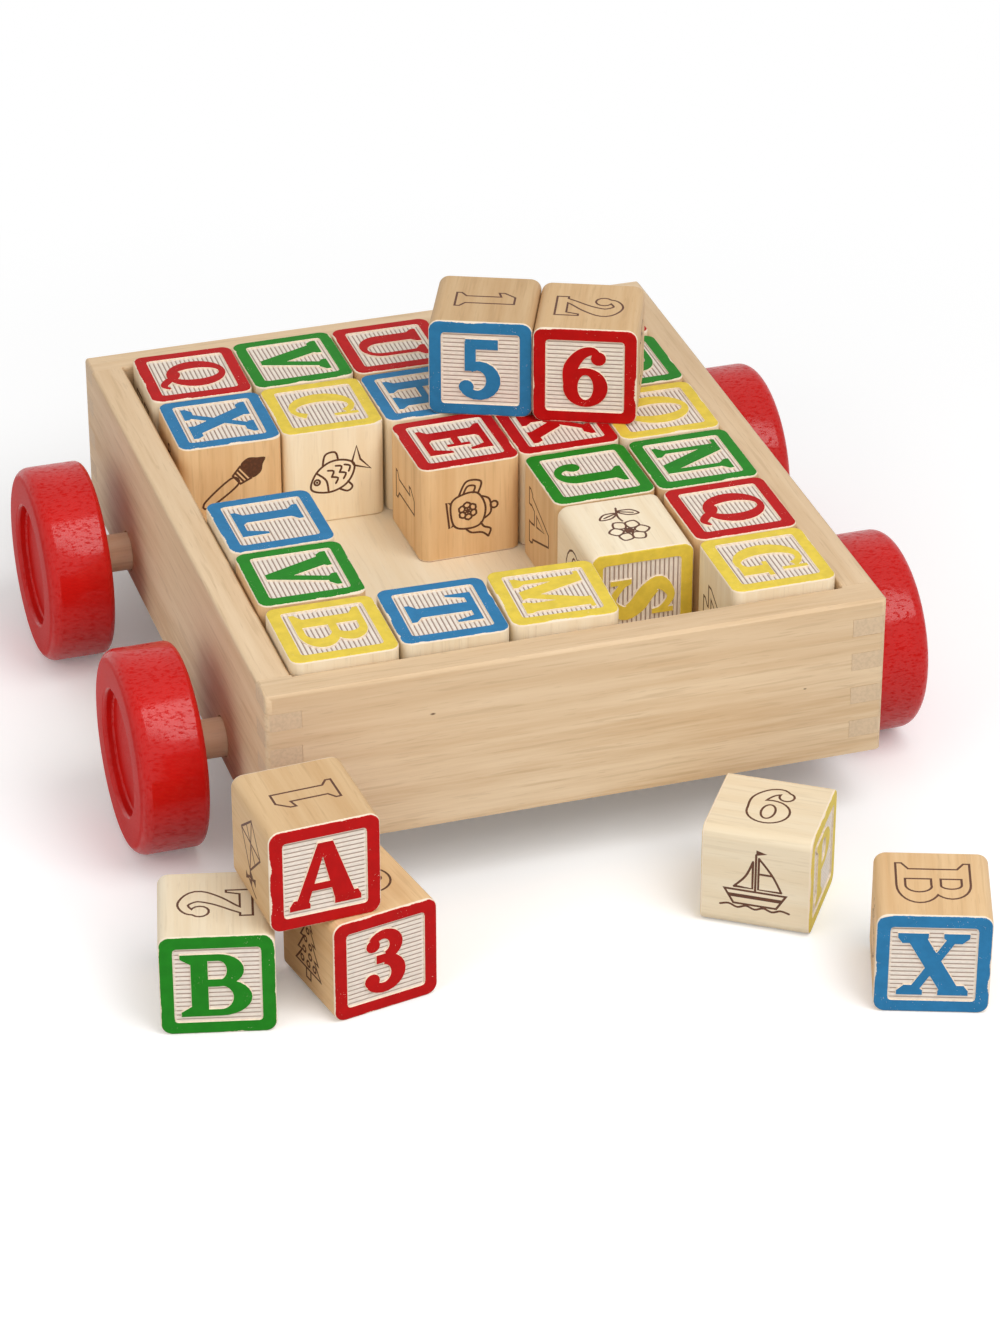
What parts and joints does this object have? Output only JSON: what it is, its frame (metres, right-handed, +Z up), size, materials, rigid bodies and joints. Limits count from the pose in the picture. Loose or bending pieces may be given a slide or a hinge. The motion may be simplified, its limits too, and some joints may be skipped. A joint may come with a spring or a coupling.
{
  "type": "alphabet block cart",
  "caption": "Finger-jointed wooden tray on dowel axles with red wheels, carrying loose embossed alphabet blocks that lift out, stack and slide.",
  "frame": {"origin": "on the floor, under the middle of the whole set's box", "axes": "+Z up, +Y along the tray from its front wall to its rear wall, +X to the right seen from the front"},
  "size_m": [0.3024, 0.3874, 0.128],
  "materials": {
    "tray_wood": "sanded bare hardwood, long grain",
    "floor_wood": "smooth pale plywood",
    "dowel_wood": "bare turned dowel",
    "wheel_paint": "satin red paint on turned wood",
    "block_wood": "bare wood with painted raised letters",
    "block_wood_pale": "pale bare wood with painted raised letters"
  },
  "bodies": {
    "tray": {"front_wall": "tray_wood", "rear_wall": "tray_wood", "left_wall": "tray_wood", "right_wall": "tray_wood", "floor_panel": "floor_wood"},
    "front_wheelset": {"front_axle": "dowel_wood", "front_left_wheel": "wheel_paint", "front_right_wheel": "wheel_paint"},
    "rear_wheelset": {"rear_axle": "dowel_wood", "rear_left_wheel": "wheel_paint", "rear_right_wheel": "wheel_paint"},
    "stack_base": {"block_h_blue": "block_wood_pale", "block_e_red": "block_wood", "block_f_blue": "block_wood_pale", "block_k_red": "block_wood_pale", "block_r_green": "block_wood", "block_o_yellow": "block_wood_pale"},
    "block_q_red_1": {"block_q_red_1": "block_wood_pale"},
    "block_x_blue_1": {"block_x_blue_1": "block_wood"},
    "block_l_blue": {"block_l_blue": "block_wood_pale"},
    "block_v_green_1": {"block_v_green_1": "block_wood"},
    "block_b_yellow": {"block_b_yellow": "block_wood_pale"},
    "block_v_green_2": {"block_v_green_2": "block_wood_pale"},
    "block_c_yellow": {"block_c_yellow": "block_wood_pale"},
    "block_t_blue": {"block_t_blue": "block_wood_pale"},
    "block_u_red": {"block_u_red": "block_wood"},
    "block_m_yellow": {"block_m_yellow": "block_wood_pale"},
    "block_w_yellow": {"block_w_yellow": "block_wood_pale"},
    "block_j_green": {"block_j_green": "block_wood"},
    "block_s_yellow": {"block_s_yellow": "block_wood_pale"},
    "block_d_red": {"block_d_red": "block_wood_pale"},
    "block_n_green": {"block_n_green": "block_wood"},
    "block_q_red_2": {"block_q_red_2": "block_wood"},
    "block_g_yellow": {"block_g_yellow": "block_wood_pale"},
    "block_5_blue": {"block_5_blue": "block_wood"},
    "block_6_red": {"block_6_red": "block_wood"},
    "block_a_red": {"block_a_red": "block_wood"},
    "block_b_green": {"block_b_green": "block_wood_pale"},
    "block_3_red": {"block_3_red": "block_wood"},
    "block_p_yellow": {"block_p_yellow": "block_wood_pale"},
    "block_x_blue_2": {"block_x_blue_2": "block_wood"}
  },
  "joints": [
    {"name": "front_axle_spin", "type": "hinge", "parent": "tray", "child": "front_wheelset", "pos_m": [0.0116, -0.0059, 0.036], "axis": [1, 0, 0], "continuous": true},
    {"name": "rear_axle_spin", "type": "hinge", "parent": "tray", "child": "rear_wheelset", "pos_m": [0.0116, 0.1321, 0.036], "axis": [1, 0, 0], "continuous": true},
    {"name": "stack_base_lift", "type": "slide", "parent": "tray", "child": "stack_base", "axis": [0, 0, 1], "range_m": [0, 0.06]},
    {"name": "block_q_red_1_lift", "type": "slide", "parent": "tray", "child": "block_q_red_1", "axis": [0, 0, 1], "range_m": [0, 0.06]},
    {"name": "block_x_blue_1_lift", "type": "slide", "parent": "tray", "child": "block_x_blue_1", "axis": [0, 0, 1], "range_m": [0, 0.06]},
    {"name": "block_l_blue_lift", "type": "slide", "parent": "tray", "child": "block_l_blue", "axis": [0, 0, 1], "range_m": [0, 0.06]},
    {"name": "block_v_green_1_lift", "type": "slide", "parent": "tray", "child": "block_v_green_1", "axis": [0, 0, 1], "range_m": [0, 0.06]},
    {"name": "block_b_yellow_lift", "type": "slide", "parent": "tray", "child": "block_b_yellow", "axis": [0, 0, 1], "range_m": [0, 0.06]},
    {"name": "block_v_green_2_lift", "type": "slide", "parent": "tray", "child": "block_v_green_2", "axis": [0, 0, 1], "range_m": [0, 0.06]},
    {"name": "block_c_yellow_lift", "type": "slide", "parent": "tray", "child": "block_c_yellow", "axis": [0, 0, 1], "range_m": [0, 0.06]},
    {"name": "block_t_blue_lift", "type": "slide", "parent": "tray", "child": "block_t_blue", "axis": [0, 0, 1], "range_m": [0, 0.06]},
    {"name": "block_u_red_lift", "type": "slide", "parent": "tray", "child": "block_u_red", "axis": [0, 0, 1], "range_m": [0, 0.06]},
    {"name": "block_m_yellow_lift", "type": "slide", "parent": "tray", "child": "block_m_yellow", "axis": [0, 0, 1], "range_m": [0, 0.06]},
    {"name": "block_w_yellow_lift", "type": "slide", "parent": "tray", "child": "block_w_yellow", "axis": [0, 0, 1], "range_m": [0, 0.06]},
    {"name": "block_j_green_lift", "type": "slide", "parent": "tray", "child": "block_j_green", "axis": [0, 0, 1], "range_m": [0, 0.06]},
    {"name": "block_s_yellow_lift", "type": "slide", "parent": "tray", "child": "block_s_yellow", "axis": [0, 0, 1], "range_m": [0, 0.06]},
    {"name": "block_d_red_lift", "type": "slide", "parent": "tray", "child": "block_d_red", "axis": [0, 0, 1], "range_m": [0, 0.06]},
    {"name": "block_n_green_lift", "type": "slide", "parent": "tray", "child": "block_n_green", "axis": [0, 0, 1], "range_m": [0, 0.06]},
    {"name": "block_q_red_2_lift", "type": "slide", "parent": "tray", "child": "block_q_red_2", "axis": [0, 0, 1], "range_m": [0, 0.06]},
    {"name": "block_g_yellow_lift", "type": "slide", "parent": "tray", "child": "block_g_yellow", "axis": [0, 0, 1], "range_m": [0, 0.06]},
    {"name": "block_5_blue_lift", "type": "slide", "parent": "stack_base", "child": "block_5_blue", "axis": [0, 0, 1], "range_m": [0, 0.06]},
    {"name": "block_6_red_lift", "type": "slide", "parent": "stack_base", "child": "block_6_red", "axis": [0, 0, 1], "range_m": [0, 0.06]},
    {"name": "block_a_red_lift", "type": "slide", "parent": "tray", "child": "block_a_red", "axis": [0, 0, 1], "range_m": [0, 0.06]},
    {"name": "block_b_green_slide", "type": "slide", "parent": "tray", "child": "block_b_green", "axis": [-0.9715, 0.2368, 0], "range_m": [0, 0.05]},
    {"name": "block_3_red_slide", "type": "slide", "parent": "tray", "child": "block_3_red", "axis": [0.981, 0.1942, 0], "range_m": [0, 0.05]},
    {"name": "block_p_yellow_lift", "type": "slide", "parent": "tray", "child": "block_p_yellow", "axis": [0, 0, 1], "range_m": [0, 0.06]},
    {"name": "block_x_blue_2_lift", "type": "slide", "parent": "tray", "child": "block_x_blue_2", "axis": [0, 0, 1], "range_m": [0, 0.06]}
  ]
}
